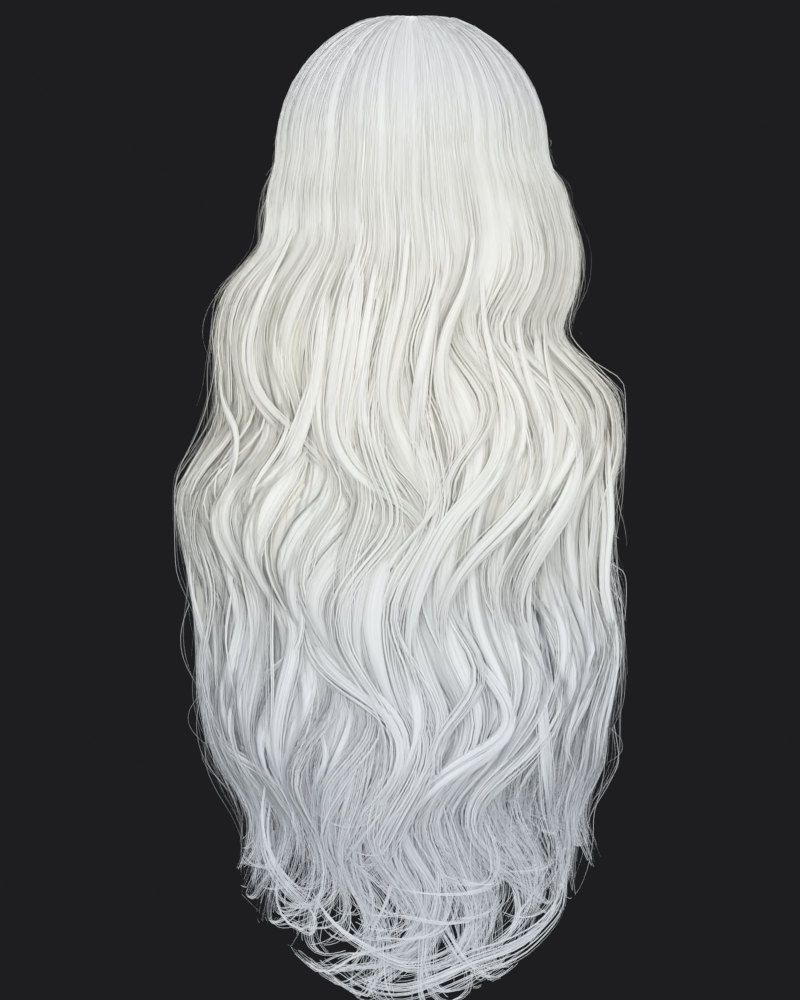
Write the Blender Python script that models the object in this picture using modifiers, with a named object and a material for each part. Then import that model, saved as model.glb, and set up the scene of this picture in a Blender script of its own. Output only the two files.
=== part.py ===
"""A long wavy wig: a net cap that fits over a head, and seven panels of hair that hang from it.

Metres, +Z up. The origin is the inside of the cap's top, where the crown of the head sits.
The face looks along -Y, so the long back hair is on the +Y side and the wearer's left is +X.
"""

from collections import namedtuple
from math import acos, cos, degrees, atan2, pi, radians, sin, sqrt

import bmesh
import bpy
import numpy as np
from mathutils import Vector

# The hollow that the head goes into, and the cap around it
HEAD_WIDTH = 0.156
HEAD_LENGTH = 0.190
CROWN_HEIGHT = 0.098
CAP_DEPTH = 0.150
CAP_WALL = 0.002
CAP_SEGMENTS = 32
CAP_RINGS = 8

# Hair lying over the cap, from the whorl and the parting to the head's widest level
SEAT_GAP = 0.0006
CROWN_HAIR = 0.0115
SIDE_HAIR = 0.025
BACK_HAIR = 0.020
WHORL_RADIUS = 0.004
WHORL_BACK = 0.020
PARTING_WIDTH = 0.0016
PARTING_DIP = 0.0035
PARTING_SOFTNESS = 0.25
HAIRLINE_SETBACK = 0.004

# Hair hanging below the head's widest level. The drop is from the cap's top to the lowest tip
DROP = 0.741
CURTAIN_WIDTH = 0.340
CURTAIN_THICKNESS = 0.034
PANEL_GAP = 0.0008

# Waves: how far they swing sideways and backwards, and how much of that is lost at the two sides
WAVE_SWING = 0.014
WAVE_DEPTH = 0.006
WAVE_CALM = 0.75

# Locks: the grooves between them, and where they part and taper to their tips. FORK_FROM and FORK_STAGGER are
# shares of the fall, GROOVE_FULL too, and the rest without a unit are shares of a lock's own width and thickness
DOME_GROOVE = 0.0025
CURTAIN_GROOVE = 0.011
GROOVE_FULL = 0.45
FREE_GROOVE = 0.42
INNER_GROOVE = 0.6
FORK_FROM = 0.54
FORK_STAGGER = 0.07
TIP_WIDTH = 0.22
TIP_THICKNESS = 0.22
TIP_SWAY = 0.012

# Rows of a panel from the parting to the head's widest level, and from there to the tips
DOME_ROWS = 6
FALL_ROWS = 27

HAIR_WHITE = (0.93, 0.925, 0.895, 1.0)
NET_WHITE = (0.80, 0.77, 0.70, 1.0)

# The cap's edge round from the nape: its height below the cap's top as a share of CAP_DEPTH
CapEdge = namedtuple("CapEdge", "azimuth share")
CAP_EDGE = (
    CapEdge(0, 1.00),
    CapEdge(35, 0.97),
    CapEdge(62, 0.76),
    CapEdge(88, 0.82),
    CapEdge(106, 0.78),
    CapEdge(128, 0.46),
    CapEdge(155, 0.34),
    CapEdge(180, 0.32),
)

# Sections of the hanging hair, down the fall from 0 at the head's widest level to 1 at the lowest tip.
# left, right and front_width are half widths, from 0 at the width over the head to 1 at CURTAIN_WIDTH.
# back, side_back, front and side_front are reaches as shares of the reach over the head: the outer face at the
# middle of the back, the line where the back hair ends at the shoulders, and the same for the front hair.
# thick is a share of CURTAIN_THICKNESS
Section = namedtuple("Section", "fall left right back side_back front_width front side_front thick")
SECTIONS = (
    Section(0.045, 0.11, 0.21, 1.00, 0.02, 0.11, 0.95, 0.00, 0.72),
    Section(0.107, 0.16, 0.37, 0.985, 0.06, 0.19, 0.93, 0.05, 0.88),
    Section(0.16, 0.61, 0.33, 0.955, 0.145, 0.21, 0.93, 0.14, 1.00),
    Section(0.215, 0.67, 0.14, 0.955, 0.245, 0.32, 0.95, 0.27, 1.00),
    Section(0.285, 0.66, 0.76, 0.975, 0.34, 0.45, 0.98, 0.38, 1.00),
    Section(0.33, 0.79, 0.79, 0.995, 0.38, 0.50, 1.01, 0.42, 1.00),
    Section(0.41, 1.10, 0.76, 1.015, 0.41, 0.53, 1.01, 0.44, 0.98),
    Section(0.49, 1.08, 0.74, 1.025, 0.43, 0.50, 1.00, 0.44, 0.94),
    Section(0.60, 0.89, 0.76, 1.025, 0.43, 0.42, 0.98, 0.43, 0.88),
    Section(0.725, 0.66, 0.70, 1.005, 0.43, 0.32, 0.95, 0.42, 0.80),
    Section(0.79, 0.35, 0.30, 0.975, 0.42, 0.24, 0.93, 0.41, 0.74),
    Section(1.00, 0.22, 0.27, 0.86, 0.37, 0.11, 0.87, 0.38, 0.56),
)

# Where on the fall the strands lean most: to the wearer's left at 1, 3, 5 and 7, and to the right between.
# across is the place in the back hair, from -1 at the wearer's right edge to 1 at the left edge
Turns = namedtuple("Turns", "across first second third fourth fifth sixth seventh")
WAVE_CHART = (
    Turns(-0.84, 0.16, 0.275, 0.39, 0.54, 0.655, 0.77, 0.885),
    Turns(-0.61, 0.17, 0.26, 0.41, 0.55, 0.69, 0.805, 0.92),
    Turns(-0.39, 0.135, 0.255, 0.41, 0.585, 0.725, 0.835, 0.94),
    Turns(-0.16, 0.18, 0.305, 0.445, 0.615, 0.735, 0.84, 0.955),
    Turns(0.07, 0.205, 0.395, 0.495, 0.645, 0.77, 0.86, 0.955),
    Turns(0.30, 0.18, 0.385, 0.485, 0.635, 0.77, 0.885, 0.99),
    Turns(0.47, 0.18, 0.345, 0.44, 0.58, 0.71, 0.85, 0.955),
    Turns(0.70, 0.16, 0.295, 0.385, 0.495, 0.645, 0.78, 0.895),
    Turns(0.87, 0.17, 0.29, 0.37, 0.475, 0.61, 0.735, 0.86),
)

# How much of the full swing the waves have reached on the way down
Swing = namedtuple("Swing", "fall share")
SWINGS = (Swing(0.055, 0.0), Swing(0.19, 0.65), Swing(0.38, 1.0), Swing(0.77, 1.0), Swing(1.0, 1.15))

# The panels of hair, by azimuth from the middle of the back towards the face, positive on the wearer's left.
# Each lock has its tip, as a share of the fall, and its sway sideways at the tip, as a share of TIP_SWAY
Panel = namedtuple("Panel", "name start end tips sways")
PANELS = (
    Panel("back_hair_middle", -26, 26, (0.97, 1.00, 0.985, 0.96), (-0.5, 0.6, -0.6, 0.5)),
    Panel("back_hair_left", 26, 65, (0.95, 0.935, 0.92), (0.4, -0.4, 0.5)),
    Panel("back_hair_right", -65, -26, (0.925, 0.935, 0.955), (-0.5, 0.4, -0.4)),
    Panel("side_hair_left", 65, 101, (0.91, 0.885, 0.85), (0.4, -0.5, 0.4)),
    Panel("side_hair_right", -101, -65, (0.84, 0.875, 0.90), (-0.4, 0.5, -0.4)),
    Panel("front_hair_left", 101, 148, (0.77, 0.795, 0.735), (-0.5, 0.4, -0.6)),
    Panel("front_hair_right", -148, -101, (0.725, 0.78, 0.76), (0.6, -0.4, 0.5)),
)
CROWN_ANGLE = 65
FRONT_ANGLE = 101
FACE_ANGLE = 148

# A lock's skin across: places from one edge to the other, outside and inside
OUTSIDE_STEPS = (0.0, 0.25, 0.5, 0.75, 1.0)
INSIDE_STEPS = (0.0, 0.5, 1.0)

# The inner skin's corners stand off by FACET_ROOM, so that its flat faces keep SEAT_GAP to the cap
FACET_ROOM = 1 / cos(pi / 4 / DOME_ROWS)
CAP_CENTRE = Vector((0.0, 0.0, -CROWN_HEIGHT))
INNER_AXES = (
    (HEAD_WIDTH / 2 + CAP_WALL + SEAT_GAP) * FACET_ROOM,
    (HEAD_LENGTH / 2 + CAP_WALL + SEAT_GAP) * FACET_ROOM,
    (CROWN_HEIGHT + CAP_WALL + SEAT_GAP) * FACET_ROOM,
)
OUTER_AXES = (
    HEAD_WIDTH / 2 + CAP_WALL + SIDE_HAIR,
    HEAD_LENGTH / 2 + CAP_WALL + BACK_HAIR,
    CROWN_HEIGHT + CAP_WALL + CROWN_HAIR,
)
FALL_LENGTH = DROP - CROWN_HEIGHT
CAP_EDGE_FALL = (CAP_DEPTH - CROWN_HEIGHT) / FALL_LENGTH


def column(table, name):
    return [getattr(row, name) for row in table]


def blend(low, high, share):
    return low + (high - low) * share


def ease(share):
    """Rises smoothly from 0 to 1 as share goes from 0 to 1."""
    share = min(max(share, 0.0), 1.0)
    return share * share * (3 - 2 * share)


def section_value(name, fall):
    return float(np.interp(fall, column(SECTIONS, "fall"), column(SECTIONS, name)))


# The cap

def cap_angle(azimuth):
    """How far down from its top the cap goes at this azimuth, as an angle at the cap's centre."""
    share = float(np.interp(abs(azimuth), column(CAP_EDGE, "azimuth"), column(CAP_EDGE, "share")))
    return acos((CROWN_HEIGHT - share * CAP_DEPTH) / CROWN_HEIGHT)


def cap_mesh():
    """The inside of the cap: the top half of a ball, stretched over the head and down to the cap's edge."""
    shape = bmesh.new()
    bmesh.ops.create_uvsphere(shape, u_segments=CAP_SEGMENTS, v_segments=2 * CAP_RINGS, radius=1.0)
    just_below_middle = -sin(pi / 4 / CAP_RINGS)
    low = [v for v in shape.verts if v.co.z < just_below_middle]
    bmesh.ops.delete(shape, geom=low, context="VERTS")
    for v in shape.verts:
        from_top = acos(min(1.0, max(0.0, v.co.z))) / (pi / 2)
        angle = from_top * cap_angle(degrees(atan2(v.co.x, v.co.y)))
        flat = Vector((v.co.x, v.co.y, 0.0))
        flat.normalize()
        v.co = CAP_CENTRE + Vector((
            HEAD_WIDTH / 2 * sin(angle) * flat.x,
            HEAD_LENGTH / 2 * sin(angle) * flat.y,
            CROWN_HEIGHT * cos(angle),
        ))
    bmesh.ops.recalc_face_normals(shape, faces=shape.faces)
    mesh = bpy.data.meshes.new("cap")
    shape.to_mesh(mesh)
    shape.free()
    return mesh


# Hair over the cap

def root_place(azimuth):
    """Where a strand starts, seen from above: round the whorl at the back, then forward along the parting."""
    side = 1 if azimuth >= 0 else -1
    turned = radians(min(abs(azimuth), CROWN_ANGLE))
    forward = max(abs(azimuth) - CROWN_ANGLE, 0) / (FACE_ANGLE - CROWN_ANGLE)
    parting_front = HAIRLINE_SETBACK - HEAD_LENGTH / 2 * sin(cap_angle(180))
    x = blend(WHORL_RADIUS * sin(turned), PARTING_WIDTH / 2, ease(2 * forward))
    y = blend(WHORL_BACK + WHORL_RADIUS * cos(turned), parting_front, forward)
    return side * x, y


def on_dome(axes, azimuth, rise):
    """A point of the hair's outer or inner dome, from the root at rise 0 to the widest level at rise 1."""
    root_x, root_y = root_place(azimuth)
    run = sin(rise * pi / 2)
    x = blend(root_x, axes[0] * sin(radians(azimuth)), run)
    y = blend(root_y, axes[1] * cos(radians(azimuth)), run)
    height = sqrt(max(0.0, 1 - (x / axes[0]) ** 2 - (y / axes[1]) ** 2))
    return CAP_CENTRE + Vector((x, y, axes[2] * height))


def dome_point(azimuth, rise, depth):
    outer = on_dome(OUTER_AXES, azimuth, rise)
    inner = on_dome(INNER_AXES, azimuth, rise)
    dip = PARTING_DIP * (1 - ease(rise / PARTING_SOFTNESS))
    outer = outer + (inner - outer).normalized() * dip
    return outer.lerp(inner, depth)


# Hair hanging below the head

def wave(azimuth, fall):
    """How far a wave carries the hair sideways and backwards at this place."""
    side = sin(radians(azimuth))
    across = side if abs(azimuth) < 90 else np.sign(azimuth)
    heights = [
        float(np.interp(across, column(WAVE_CHART, "across"), column(WAVE_CHART, name)))
        for name in Turns._fields[1:]
    ]
    heights = [2 * heights[0] - heights[1]] + heights + [2 * heights[-1] - heights[-2]]
    turn = float(np.interp(fall, heights, range(-1, len(heights) - 1)))
    size = float(np.interp(fall, column(SWINGS, "fall"), column(SWINGS, "share")))
    calm = 1 - WAVE_CALM * side**4
    return size * calm * WAVE_SWING * sin(pi * turn), size * WAVE_DEPTH * cos(pi * turn)


def outline_at(azimuth, fall, front):
    """Half width, reach and side line of the hair's outline at a height, for the back or the front group."""
    if front:
        width, reach, side_line = "front_width", "front", "side_front"
    else:
        width, reach, side_line = "left" if azimuth >= 0 else "right", "back", "side_back"
    spread = section_value(width, fall) * (CURTAIN_WIDTH / 2 - OUTER_AXES[0])
    set_back = section_value(side_line, fall) * OUTER_AXES[1]
    beyond = section_value(reach, fall) * OUTER_AXES[1] - set_back
    return OUTER_AXES[0] + spread, beyond, -set_back if front else set_back


def fall_point(azimuth, fall, depth, front):
    """A point of the hanging hair, from its outer face at depth 0 to its inner face at depth 1."""
    turned = radians(azimuth)
    settled = ease(fall / SECTIONS[0].fall)
    width, reach, side_line = outline_at(azimuth, fall, front)
    width = blend(OUTER_AXES[0], width, settled)
    reach = blend(OUTER_AXES[1], reach, settled)
    side_line = side_line * settled
    height = -CROWN_HEIGHT - fall * FALL_LENGTH
    outer = Vector((width * sin(turned), side_line + reach * cos(turned), height))
    over_cap = Vector((
        (OUTER_AXES[0] - INNER_AXES[0]) * sin(turned),
        (OUTER_AXES[1] - INNER_AXES[1]) * cos(turned),
    ))
    below_cap = ease((fall - CAP_EDGE_FALL) / CAP_EDGE_FALL)
    thick = blend(over_cap.length, section_value("thick", fall) * CURTAIN_THICKNESS, below_cap)
    inward = Vector((0.0, side_line, height)) - outer
    sideways, backwards = wave(azimuth, fall)
    return outer + inward.normalized() * thick * depth + Vector((sideways, backwards, 0.0))


class PanelGrid:
    """A panel's places: rows run from the parting to the tips, and each lock has its steps across."""

    def __init__(self, panel):
        self.panel = panel
        self.front = abs(panel.start + panel.end) / 2 > FRONT_ANGLE
        self.locks = len(panel.tips)
        step = (panel.end - panel.start) / self.locks
        self.bounds = [panel.start + step * i for i in range(self.locks + 1)]
        self.rows = DOME_ROWS + FALL_ROWS
        self.forks = [self.fork_row(i) for i in range(self.locks + 1)]

    def fork_row(self, bound):
        """The row at which the locks on both sides of this bound part. Every other inner bound parts lower."""
        stagger = FORK_STAGGER if 0 < bound < self.locks and bound % 2 else 0
        return DOME_ROWS + round((FORK_FROM + stagger) * FALL_ROWS)

    def past_fork(self, bound, row):
        """From 0 where the locks part to 1 at the tips."""
        return max(0.0, (row - self.forks[bound]) / (self.rows - self.forks[bound]))

    def place(self, azimuth, row, tip, depth):
        """A point of the hair, in a lock whose tip is this share of the fall."""
        if row <= DOME_ROWS:
            return dome_point(azimuth, row / DOME_ROWS, depth)
        fall = (row - DOME_ROWS) / FALL_ROWS
        parts_at = FORK_FROM + FORK_STAGGER
        if fall > parts_at:
            fall = blend(parts_at, tip, (fall - parts_at) / (1 - parts_at))
        return fall_point(azimuth, fall, depth, self.front)

    def groove(self, lock, row):
        """How far a lock's edges lie back from its crest, as a share of the hair's thickness."""
        if row <= DOME_ROWS:
            thick = blend(CROWN_HAIR, SIDE_HAIR, row / DOME_ROWS)
            return DOME_GROOVE * ease(2 * row / DOME_ROWS) / thick
        down = ease((row - DOME_ROWS) / (GROOVE_FULL * FALL_ROWS))
        joined = blend(DOME_GROOVE / SIDE_HAIR, CURTAIN_GROOVE / CURTAIN_THICKNESS, down)
        parted = max(self.past_fork(lock, row), self.past_fork(lock + 1, row))
        return blend(joined, FREE_GROOVE, ease(3 * parted))

    def point(self, lock, row, across, inside):
        """A point of a lock's skin. across runs from 0 at its first edge to 1 at its last."""
        past = [self.past_fork(lock, row), self.past_fork(lock + 1, row)]
        narrow = [0.5 * (1 - TIP_WIDTH) * p**2 for p in past]
        azimuth = blend(
            self.bounds[lock], self.bounds[lock + 1], blend(narrow[0], 1 - narrow[1], across)
        )
        parted = max(past)
        groove = self.groove(lock, row)
        slim = 1 - (1 - TIP_THICKNESS) * parted**2
        sway = self.panel.sways[lock] * TIP_SWAY * parted**2
        tip = self.panel.tips[lock]
        if across in (0, 1) and past[int(across)] == 0:
            beside = [max(lock + int(across) - 1, 0), min(lock + int(across), self.locks - 1)]
            groove = min(self.groove(near, row) for near in beside)
            tip = sum(self.panel.tips[near] for near in beside) / 2
            slim = 1.0
            sway = 0.0
        back = groove * (1 - sin(pi * across))
        if inside:
            back = 1 - INNER_GROOVE * back
        spot = self.place(azimuth, row, tip, blend(0.5, back, slim))
        spot.x += sway
        return spot + self.clearance(lock, row, across)

    def clearance(self, lock, row, across):
        """Half of the gap to the next panel, at a panel's own two edges."""
        if (lock, across) == (0, 0):
            way = PANEL_GAP / 2
        elif (lock, across) == (self.locks - 1, 1):
            way = -PANEL_GAP / 2
        else:
            return Vector((0.0, 0.0, 0.0))
        azimuth = self.bounds[lock + int(across)]
        if row < DOME_ROWS and abs(azimuth) > CROWN_ANGLE:
            return Vector((0.0, -way * np.sign(azimuth), 0.0))
        return way * Vector((cos(radians(azimuth)), -sin(radians(azimuth)), 0.0))


def panel_mesh(panel):
    """One closed body: a sheet of locks side by side, which part into pointed ends below their forks."""
    grid = PanelGrid(panel)
    shape = bmesh.new()
    made = {}

    def vertex(lock, row, across, inside):
        key = (lock, row, across, inside)
        if across == 1 and lock + 1 < grid.locks and row <= grid.forks[lock + 1]:
            key = (lock + 1, row, 0.0, inside)
        if key not in made:
            made[key] = shape.verts.new(grid.point(*key))
        return made[key]

    def skin(lock, row, steps, inside):
        for low, high in zip(steps, steps[1:]):
            shape.faces.new((
                vertex(lock, row, low, inside),
                vertex(lock, row, high, inside),
                vertex(lock, row + 1, high, inside),
                vertex(lock, row + 1, low, inside),
            ))

    def edge_wall(lock, row, across):
        """The side of a lock where no other lock is joined to it."""
        shape.faces.new((
            vertex(lock, row, across, False),
            vertex(lock, row, across, True),
            vertex(lock, row + 1, across, True),
            vertex(lock, row + 1, across, False),
        ))

    def end_wall(lock, row):
        """The root or the tip of a lock."""
        outside = [vertex(lock, row, across, False) for across in OUTSIDE_STEPS]
        inside = [vertex(lock, row, across, True) for across in reversed(INSIDE_STEPS)]
        shape.faces.new(outside + inside)

    for lock in range(grid.locks):
        for row in range(grid.rows):
            skin(lock, row, OUTSIDE_STEPS, False)
            skin(lock, row, INSIDE_STEPS, True)
            if lock == 0 or row >= grid.forks[lock]:
                edge_wall(lock, row, 0.0)
            if lock == grid.locks - 1 or row >= grid.forks[lock + 1]:
                edge_wall(lock, row, 1.0)
        end_wall(lock, 0)
        end_wall(lock, grid.rows)
    bmesh.ops.recalc_face_normals(shape, faces=shape.faces)
    mesh = bpy.data.meshes.new(panel.name)
    shape.to_mesh(mesh)
    shape.free()
    return mesh


# Putting it together

def plain_material(name, colour, roughness):
    made = bpy.data.materials.new(name)
    made.use_nodes = True
    shader = made.node_tree.nodes["Principled BSDF"]
    shader.inputs["Base Color"].default_value = colour
    shader.inputs["Roughness"].default_value = roughness
    shader.inputs["Metallic"].default_value = 0.0
    return made


def add_piece(mesh, material, collection):
    piece = bpy.data.objects.new(mesh.name, mesh)
    mesh.materials.append(material)
    mesh.shade_smooth()
    collection.objects.link(piece)
    return piece


def main():
    for old in list(bpy.data.objects):
        bpy.data.objects.remove(old)
    wig = bpy.data.collections.new("long_wavy_wig")
    bpy.context.scene.collection.children.link(wig)
    cap = add_piece(cap_mesh(), plain_material("cap_net", NET_WHITE, 0.8), wig)
    wall = cap.modifiers.new("wall", "SOLIDIFY")
    wall.thickness = CAP_WALL
    wall.offset = 1.0
    hair = plain_material("hair", HAIR_WHITE, 0.4)
    for panel in PANELS:
        add_piece(panel_mesh(panel), hair, wig)


main()
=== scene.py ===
import math

import bpy
import numpy as np
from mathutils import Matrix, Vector


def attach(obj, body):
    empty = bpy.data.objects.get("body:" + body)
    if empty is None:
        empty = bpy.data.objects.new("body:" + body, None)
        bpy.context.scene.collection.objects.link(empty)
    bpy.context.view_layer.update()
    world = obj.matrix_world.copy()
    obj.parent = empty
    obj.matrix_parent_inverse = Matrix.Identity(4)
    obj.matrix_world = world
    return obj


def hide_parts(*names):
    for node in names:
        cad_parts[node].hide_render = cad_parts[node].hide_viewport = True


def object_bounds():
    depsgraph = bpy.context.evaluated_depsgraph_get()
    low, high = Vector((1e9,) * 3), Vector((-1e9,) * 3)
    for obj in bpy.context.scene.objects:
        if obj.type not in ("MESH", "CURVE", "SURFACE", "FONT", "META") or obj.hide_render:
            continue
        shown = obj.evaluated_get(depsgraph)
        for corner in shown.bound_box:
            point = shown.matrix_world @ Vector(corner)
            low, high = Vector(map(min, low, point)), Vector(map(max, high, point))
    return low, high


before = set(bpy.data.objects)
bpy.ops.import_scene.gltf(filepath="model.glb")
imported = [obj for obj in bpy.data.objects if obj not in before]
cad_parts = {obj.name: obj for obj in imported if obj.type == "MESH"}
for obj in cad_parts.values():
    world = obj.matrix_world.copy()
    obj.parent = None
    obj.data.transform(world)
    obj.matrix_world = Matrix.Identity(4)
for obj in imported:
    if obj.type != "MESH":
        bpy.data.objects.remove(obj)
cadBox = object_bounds()
print("frame loaded:", len(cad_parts), "nodes")


# Small helpers

def blend(low, high, share):
    return low + (high - low) * share


def ease(share):
    share = np.clip(share, 0.0, 1.0)
    return share * share * (3 - 2 * share)


def grown(value, over):
    # 0 up to the first number of over, and 1 once past it by the second
    return ease((value - over[0]) / over[1])


def unit(vectors):
    return vectors / np.maximum(np.linalg.norm(vectors, axis=-1, keepdims=True), 1e-9)


def lengthAlong(points):
    return np.concatenate([[0], np.linalg.norm(np.diff(points, axis=0), axis=1).cumsum()])


def tableAt(table, where):
    return np.interp(where, [row[0] for row in table], [row[1] for row in table])


def resampled(values, at, along):
    # values that lie at the places in along, read at other places
    if values.ndim == 1:
        return np.interp(at, along, values)
    return np.stack([np.interp(at, along, column) for column in values.T], axis=1)


def smoothRows(values, reach):
    # a moving average along the first axis, which leaves both ends where they are
    reach = min(reach, (len(values) - 1) // 2)
    if reach < 1:
        return values
    window = np.hanning(2 * reach + 3)[1:-1]
    window = window / window.sum()
    before = 2 * values[0] - values[1:reach + 1][::-1]
    after = 2 * values[-1] - values[-reach - 1:-1][::-1]
    padded = np.concatenate([before, values, after])
    return np.stack([np.convolve(column, window, "valid") for column in padded.T], axis=1)


# The shape of the hair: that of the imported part, with the whorl and the parting drawn closed

head = {
    "halfWidth": 0.078,
    "halfLength": 0.095,
    "crownHeight": 0.098,
    "capWall": 0.002,
    "capGap": 0.0016,
    "crownHair": 0.0115,
    "sideHair": 0.025,
    "backHair": 0.020,
    "whorlRadius": 0.0004,
    "whorlBack": 0.020,
    "partingWidth": 0.0,
    "partingFront": -0.0777,
    "partingDip": 0.0020,
    "dipRise": 0.25,
    "crownAngle": 65,
    "earAngle": 101,
    "faceAngle": 148,
    "edgeMargin": 2,
}
fallHair = {
    "drop": 0.741,
    "halfWidth": 0.170,
    "thickness": 0.034,
    "settleFall": 0.045,
    "capEdgeFall": 0.081,
    "swing": 0.014,
    "swingDepth": 0.006,
    "calm": 0.75,
    "tipSway": 0.012,
}
outerAxes = (
    head["halfWidth"] + head["capWall"] + head["sideHair"],
    head["halfLength"] + head["capWall"] + head["backHair"],
    head["crownHeight"] + head["capWall"] + head["crownHair"],
)
innerAxes = tuple(
    half + head["capWall"] + head["capGap"]
    for half in (head["halfWidth"], head["halfLength"], head["crownHeight"])
)
fallLength = fallHair["drop"] - head["crownHeight"]

sectionNames = ("fall", "left", "right", "back", "sideBack", "frontWidth", "front", "sideFront", "thick")
sectionRows = (
    (0.045, 0.11, 0.21, 1.00, 0.02, 0.11, 0.95, 0.00, 0.72),
    (0.107, 0.16, 0.37, 0.985, 0.06, 0.19, 0.93, 0.05, 0.88),
    (0.16, 0.61, 0.33, 0.955, 0.145, 0.21, 0.93, 0.14, 1.00),
    (0.215, 0.67, 0.14, 0.955, 0.245, 0.32, 0.95, 0.27, 1.00),
    (0.285, 0.66, 0.76, 0.975, 0.34, 0.45, 0.98, 0.38, 1.00),
    (0.33, 0.79, 0.79, 0.995, 0.38, 0.50, 1.01, 0.42, 1.00),
    (0.41, 1.10, 0.76, 1.015, 0.41, 0.53, 1.01, 0.44, 0.98),
    (0.49, 1.08, 0.74, 1.025, 0.43, 0.50, 1.00, 0.44, 0.94),
    (0.60, 0.89, 0.76, 1.025, 0.43, 0.42, 0.98, 0.43, 0.88),
    (0.725, 0.66, 0.70, 1.005, 0.43, 0.32, 0.95, 0.42, 0.80),
    (0.79, 0.35, 0.30, 0.975, 0.42, 0.24, 0.93, 0.41, 0.74),
    (1.00, 0.22, 0.27, 0.86, 0.37, 0.11, 0.87, 0.38, 0.56),
)
# where the strands lean most, from the wearer's right edge (-1) to the left edge (1)
turnRows = (
    (-0.84, 0.16, 0.275, 0.39, 0.54, 0.655, 0.77, 0.885),
    (-0.61, 0.17, 0.26, 0.41, 0.55, 0.69, 0.805, 0.92),
    (-0.39, 0.135, 0.255, 0.41, 0.585, 0.725, 0.835, 0.94),
    (-0.16, 0.18, 0.305, 0.445, 0.615, 0.735, 0.84, 0.955),
    (0.07, 0.205, 0.395, 0.495, 0.645, 0.77, 0.86, 0.955),
    (0.30, 0.18, 0.385, 0.485, 0.635, 0.77, 0.885, 0.99),
    (0.47, 0.18, 0.345, 0.44, 0.58, 0.71, 0.85, 0.955),
    (0.70, 0.16, 0.295, 0.385, 0.495, 0.645, 0.78, 0.895),
    (0.87, 0.17, 0.29, 0.37, 0.475, 0.61, 0.735, 0.86),
)
swingFalls = (0.055, 0.19, 0.38, 0.77, 1.0)
swingShares = (0.0, 0.65, 1.0, 1.0, 1.15)
# name, first and last azimuth from the middle of the back, tips of its locks down the fall, and their sways
panels = (
    ("back_hair_middle", -26, 26, (0.97, 1.00, 0.985, 0.96), (-0.5, 0.6, -0.6, 0.5)),
    ("back_hair_left", 26, 65, (0.95, 0.935, 0.92), (0.4, -0.4, 0.5)),
    ("back_hair_right", -65, -26, (0.925, 0.935, 0.955), (-0.5, 0.4, -0.4)),
    ("side_hair_left", 65, 101, (0.91, 0.885, 0.85), (0.4, -0.5, 0.4)),
    ("side_hair_right", -101, -65, (0.84, 0.875, 0.90), (-0.4, 0.5, -0.4)),
    ("front_hair_left", 101, 148, (0.77, 0.795, 0.735), (-0.5, 0.4, -0.6)),
    ("front_hair_right", -148, -101, (0.725, 0.78, 0.76), (0.6, -0.4, 0.5)),
)

fineFalls = np.linspace(0.0, 1.1, 441)
sections = {}
for name, values in zip(sectionNames, np.array(sectionRows).T):
    read = np.interp(fineFalls, [row[0] for row in sectionRows], values)
    sections[name] = smoothRows(read[:, None], 9)[:, 0]


def sectionValue(name, fall):
    return np.interp(fall, fineFalls, sections[name])


def atFront(panel):
    return abs(panel[1] + panel[2]) / 2 > head["earAngle"]


def domePoint(azimuth, rise, depth):
    # hair over the cap, from the whorl and the parting down to the head's widest level
    turned = np.radians(np.minimum(np.abs(azimuth), head["crownAngle"]))
    forward = np.maximum(np.abs(azimuth) - head["crownAngle"], 0) / (head["faceAngle"] - head["crownAngle"])
    rootX = blend(head["whorlRadius"] * np.sin(turned), head["partingWidth"] / 2, ease(2 * forward))
    rootX = rootX * np.where(azimuth >= 0, 1, -1)
    rootY = blend(head["whorlBack"] + head["whorlRadius"] * np.cos(turned), head["partingFront"], forward)
    run = np.sin(rise * math.pi / 2)
    skins = []
    for axes in (outerAxes, innerAxes):
        x = blend(rootX, axes[0] * np.sin(np.radians(azimuth)), run)
        y = blend(rootY, axes[1] * np.cos(np.radians(azimuth)), run)
        height = np.sqrt(np.maximum(0.0, 1 - (x / axes[0]) ** 2 - (y / axes[1]) ** 2))
        skins.append(np.stack([x, y, axes[2] * height - head["crownHeight"]], axis=-1))
    outer, inner = skins
    dip = head["partingDip"] * (1 - ease(rise / head["dipRise"]))
    outer = outer + unit(inner - outer) * dip[..., None]
    return blend(outer, inner, depth[..., None])


def waveAt(azimuth, fall, phase, strength):
    side = np.sin(np.radians(azimuth))
    across = np.where(np.abs(azimuth) < 90, side, np.sign(azimuth))
    chart = np.array(turnRows)
    heights = [np.interp(across, chart[:, 0], chart[:, i]) for i in range(1, chart.shape[1])]
    heights = [2 * heights[0] - heights[1]] + heights + [2 * heights[-1] - heights[-2]]
    turn = phase - 1.0
    for above, below in zip(heights, heights[1:]):
        turn = turn + np.clip((fall - above) / (below - above), 0, 1)
    size = np.interp(fall, swingFalls, swingShares) * strength
    calm = 1 - fallHair["calm"] * side**4
    sideways = size * calm * fallHair["swing"] * np.sin(math.pi * turn)
    backwards = size * fallHair["swingDepth"] * np.cos(math.pi * turn)
    return np.stack([sideways, backwards, np.zeros_like(fall)], axis=-1)


def crossSection(side, fall, front):
    # the outer face at this level: half its width, how far it reaches back or forward, and its middle
    settled = ease(fall / fallHair["settleFall"])
    if front:
        width, reach, sideLine = (sectionValue(n, fall) for n in ("frontWidth", "front", "sideFront"))
    else:
        width = np.where(side >= 0, sectionValue("left", fall), sectionValue("right", fall))
        reach, sideLine = sectionValue("back", fall), sectionValue("sideBack", fall)
    spread = outerAxes[0] + width * (fallHair["halfWidth"] - outerAxes[0]) * settled
    setBack = sideLine * outerAxes[1]
    beyond = blend(outerAxes[1], reach * outerAxes[1] - setBack, settled)
    return spread, beyond, setBack * settled * (-1 if front else 1)


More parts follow.
